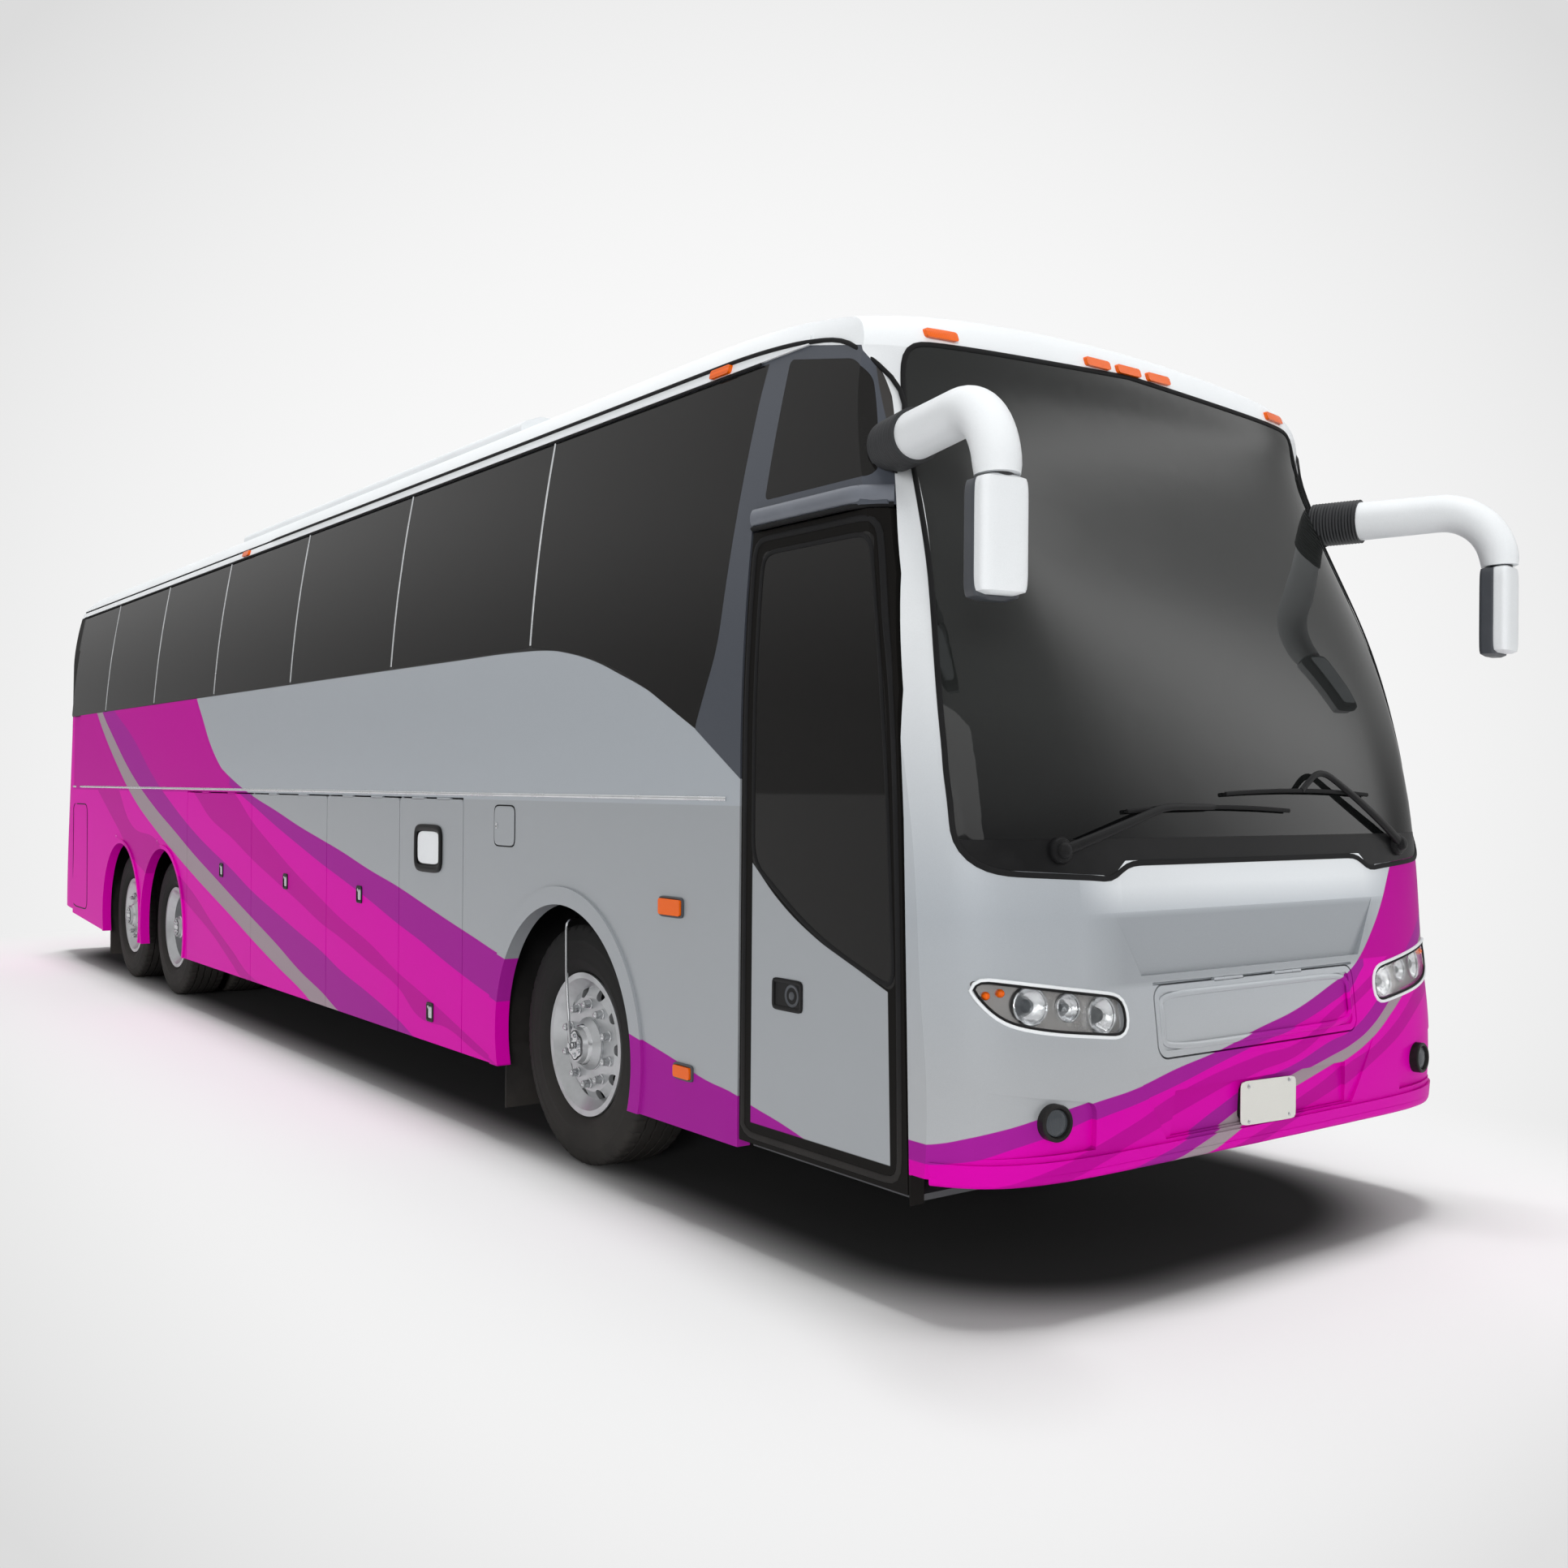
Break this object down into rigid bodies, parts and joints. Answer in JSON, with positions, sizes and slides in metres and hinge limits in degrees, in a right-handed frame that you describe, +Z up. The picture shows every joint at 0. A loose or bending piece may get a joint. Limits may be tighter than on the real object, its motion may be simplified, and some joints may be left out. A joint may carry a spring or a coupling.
{
  "type": "coach bus",
  "caption": "Long-distance coach with raised passenger deck, luggage bays behind lifting side doors, swing-out entrance door, steered front wheels and hanging mirrors.",
  "frame": {"origin": "centre of the bounding box at ground level", "axes": "+X forwards to the nose, +Y to the coach's left, +Z up"},
  "size_m": [12.6948, 2.866, 3.4919],
  "materials": {
    "body_paint": "gloss metallic",
    "roof_paint": "gloss",
    "nose_paint": "gloss",
    "purple_paint": "gloss",
    "tinted_glass": "smooth",
    "clear_lens": "smooth",
    "amber_lens": "gloss",
    "red_lens": "gloss",
    "lamp_bowl": "polished",
    "black_plastic": "satin",
    "grey_plastic": "matte",
    "white_plastic": "gloss",
    "frame_steel": "satin",
    "cast_block": "rough",
    "rubber": "matte",
    "tyre": "matte",
    "wheel_alloy": "polished",
    "floor_cover": "ribbed",
    "seat_fabric": "woven"
  },
  "bodies": {
    "root": {"side_wall_right": "body_paint", "side_wall_left": "body_paint", "roof": "roof_paint", "roof_fairing": "roof_paint", "front_panel": "nose_paint", "front_bumper": "nose_paint", "rear_panel": "purple_paint", "windscreen": "tinted_glass", "cowl": "black_plastic", "wipers": "black_plastic", "side_glass": "tinted_glass", "headlamps": "lamp_bowl", "headlamp_lenses": "clear_lens", "marker_lamps": "amber_lens", "tail_lamps": "red_lens", "mirrors": "white_plastic", "underframe": "frame_steel", "air_springs": "rubber", "axles": "frame_steel", "wheel_housings": "black_plastic", "mud_flaps": "rubber", "floor_deck": "floor_cover", "entrance_steps": "floor_cover", "luggage_bays": "grey_plastic", "engine": "cast_block", "seats": "seat_fabric", "dashboard": "black_plastic", "steering_wheel": "black_plastic"},
    "bay_door_right_1": {"bay_door_right_1": "body_paint"},
    "bay_door_right_2": {"bay_door_right_2": "body_paint"},
    "bay_door_right_3": {"bay_door_right_3": "body_paint"},
    "bay_door_right_4": {"bay_door_right_4": "body_paint"},
    "bay_door_left_1": {"bay_door_left_1": "body_paint"},
    "bay_door_left_2": {"bay_door_left_2": "body_paint"},
    "bay_door_left_3": {"bay_door_left_3": "body_paint"},
    "engine_hatch": {"engine_hatch": "purple_paint"},
    "front_lid": {"front_lid": "nose_paint"},
    "door_swing": {"door_arm": "frame_steel"},
    "door_leaf": {"entrance_door": "body_paint", "door_glass": "tinted_glass"},
    "knuckle_left": {"knuckle_left": "cast_block"},
    "knuckle_right": {"knuckle_right": "cast_block"},
    "tie_rod": {"tie_rod": "frame_steel"},
    "front_wheel_left": {"front_tyre_left": "tyre", "front_rim_left": "wheel_alloy"},
    "front_wheel_right": {"front_tyre_right": "tyre", "front_rim_right": "wheel_alloy"},
    "drive_wheel_left": {"drive_tyre_left": "tyre", "drive_rim_left": "wheel_alloy"},
    "drive_wheel_right": {"drive_tyre_right": "tyre", "drive_rim_right": "wheel_alloy"},
    "tag_wheel_left": {"tag_tyre_left": "tyre", "tag_rim_left": "wheel_alloy"},
    "tag_wheel_right": {"tag_tyre_right": "tyre", "tag_rim_right": "wheel_alloy"}
  },
  "joints": [
    {"name": "bay_door_right_1_lift", "type": "hinge", "parent": "root", "child": "bay_door_right_1", "pos_m": [-1.1685, -1.293, 1.525], "axis": [-1, 0, 0], "range_deg": [0, 85]},
    {"name": "bay_door_right_2_lift", "type": "hinge", "parent": "root", "child": "bay_door_right_2", "pos_m": [0.237, -1.293, 1.525], "axis": [-1, 0, 0], "range_deg": [0, 85]},
    {"name": "bay_door_right_3_lift", "type": "hinge", "parent": "root", "child": "bay_door_right_3", "pos_m": [1.435, -1.293, 1.525], "axis": [-1, 0, 0], "range_deg": [0, 85]},
    {"name": "bay_door_right_4_lift", "type": "hinge", "parent": "root", "child": "bay_door_right_4", "pos_m": [2.336, -1.293, 1.525], "axis": [-1, 0, 0], "range_deg": [0, 85]},
    {"name": "bay_door_left_1_lift", "type": "hinge", "parent": "root", "child": "bay_door_left_1", "pos_m": [-1.1685, 1.293, 1.525], "axis": [1, 0, 0], "range_deg": [0, 85]},
    {"name": "bay_door_left_2_lift", "type": "hinge", "parent": "root", "child": "bay_door_left_2", "pos_m": [0.237, 1.293, 1.525], "axis": [1, 0, 0], "range_deg": [0, 85]},
    {"name": "bay_door_left_3_lift", "type": "hinge", "parent": "root", "child": "bay_door_left_3", "pos_m": [1.435, 1.293, 1.525], "axis": [1, 0, 0], "range_deg": [0, 85]},
    {"name": "engine_hatch_lift", "type": "hinge", "parent": "root", "child": "engine_hatch", "pos_m": [-6.22885, 0, 1.64], "axis": [0, 1, 0], "range_deg": [0, 75]},
    {"name": "front_lid_lift", "type": "hinge", "parent": "root", "child": "front_lid", "pos_m": [6.16769, 0, 0.975], "axis": [0, -1, 0], "range_deg": [0, 70]},
    {"name": "door_swing_turn", "type": "hinge", "parent": "root", "child": "door_swing", "pos_m": [5.7125, -1.15, 1.12], "axis": [0, 0, 1], "range_deg": [0, 115]},
    {"name": "door_leaf_turn", "type": "hinge", "parent": "door_swing", "child": "door_leaf", "pos_m": [5.2825, -1.15, 1.12], "axis": [0, 0, 1], "range_deg": [-115, 0]},
    {"name": "steer_left", "type": "hinge", "parent": "root", "child": "knuckle_left", "pos_m": [3.7025, 0.93, 0.505], "axis": [0, 0, 1], "range_deg": [-40, 40]},
    {"name": "steer_right", "type": "hinge", "parent": "root", "child": "knuckle_right", "pos_m": [3.7025, -0.93, 0.505], "axis": [0, 0, 1], "range_deg": [-40, 40]},
    {"name": "tie_rod_turn", "type": "hinge", "parent": "knuckle_left", "child": "tie_rod", "pos_m": [3.5125, 0.93, 0.362], "axis": [0, 0, 1], "range_deg": [-40, 40]},
    {"name": "front_wheel_left_spin", "type": "hinge", "parent": "knuckle_left", "child": "front_wheel_left", "pos_m": [3.7025, 1.075, 0.505], "axis": [0, 1, 0], "continuous": true},
    {"name": "front_wheel_right_spin", "type": "hinge", "parent": "knuckle_right", "child": "front_wheel_right", "pos_m": [3.7025, -1.075, 0.505], "axis": [0, 1, 0], "continuous": true},
    {"name": "drive_wheel_left_spin", "type": "hinge", "parent": "root", "child": "drive_wheel_left", "pos_m": [-2.5475, 1.075, 0.505], "axis": [0, 1, 0], "continuous": true},
    {"name": "drive_wheel_right_spin", "type": "hinge", "parent": "root", "child": "drive_wheel_right", "pos_m": [-2.5475, -1.075, 0.505], "axis": [0, 1, 0], "continuous": true},
    {"name": "tag_wheel_left_spin", "type": "hinge", "parent": "root", "child": "tag_wheel_left", "pos_m": [-3.7975, 1.075, 0.505], "axis": [0, 1, 0], "continuous": true},
    {"name": "tag_wheel_right_spin", "type": "hinge", "parent": "root", "child": "tag_wheel_right", "pos_m": [-3.7975, -1.075, 0.505], "axis": [0, 1, 0], "continuous": true}
  ],
  "couplings": [
    {"joint": "door_leaf_turn", "follows": "door_swing_turn", "ratio": -1},
    {"joint": "steer_right", "follows": "steer_left", "ratio": 1},
    {"joint": "tie_rod_turn", "follows": "steer_left", "ratio": -1}
  ]
}
